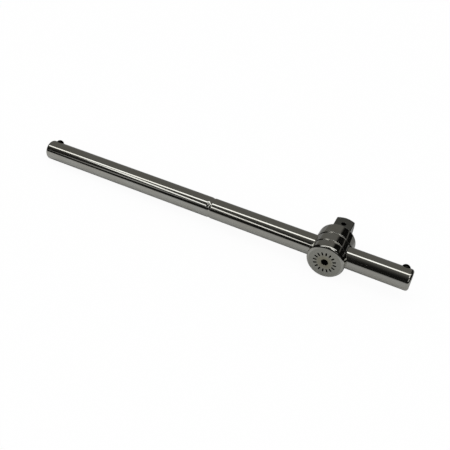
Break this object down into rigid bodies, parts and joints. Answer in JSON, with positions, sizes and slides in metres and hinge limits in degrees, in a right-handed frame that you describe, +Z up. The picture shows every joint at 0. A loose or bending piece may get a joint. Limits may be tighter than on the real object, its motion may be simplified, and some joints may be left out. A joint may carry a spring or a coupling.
{
  "type": "sliding T-bar handle",
  "caption": "Chromed socket driver: a round bar slides through a turned head with a square drive, and sprung balls near the bar's ends stop the head.",
  "frame": {"origin": "centre of the head's shoulder face, at the root of the square drive", "axes": "+Y along the head's axis towards the tip of the square; +X along the bar, towards the end nearer the head; +Z up, out of the flat with the release hole"},
  "size_m": [0.285, 0.0443, 0.0256],
  "materials": {
    "head_chrome": "bright chrome plate on forged steel",
    "bar_chrome": "bright chrome plate on ground steel bar",
    "ball_steel": "polished hardened steel",
    "spring_steel": "drawn spring wire"
  },
  "bodies": {
    "head": {"drive_head": "head_chrome", "head_detent_spring": "spring_steel", "drive_lock_spring": "spring_steel"},
    "bar": {"sliding_bar": "bar_chrome", "left_stop_spring": "spring_steel", "right_stop_spring": "spring_steel"},
    "detent_ball": {"head_detent_ball": "ball_steel"},
    "lock_ball": {"drive_lock_ball": "ball_steel"},
    "left_ball": {"left_stop_ball": "ball_steel"},
    "right_ball": {"right_stop_ball": "ball_steel"}
  },
  "joints": [
    {"name": "bar_slide", "type": "slide", "parent": "head", "child": "bar", "axis": [1, 0, 0], "range_m": [-0.0334, 0.211]},
    {"name": "left_ball_press", "type": "slide", "parent": "bar", "child": "left_ball", "axis": [0, -0.7071, -0.7071], "range_m": [0, 0.0018], "stiffness_N_per_m": 1500, "deforming": ["left_stop_spring"]},
    {"name": "right_ball_press", "type": "slide", "parent": "bar", "child": "right_ball", "axis": [0, -0.7071, -0.7071], "range_m": [0, 0.0018], "stiffness_N_per_m": 1500, "deforming": ["right_stop_spring"]},
    {"name": "detent_ball_press", "type": "slide", "parent": "head", "child": "detent_ball", "axis": [0, 1, 0], "range_m": [0, 0.0006], "stiffness_N_per_m": 1000, "deforming": ["head_detent_spring"]},
    {"name": "lock_ball_press", "type": "slide", "parent": "head", "child": "lock_ball", "axis": [0, 0, 1], "range_m": [0, 0.001], "stiffness_N_per_m": 1000, "deforming": ["drive_lock_spring"]}
  ]
}
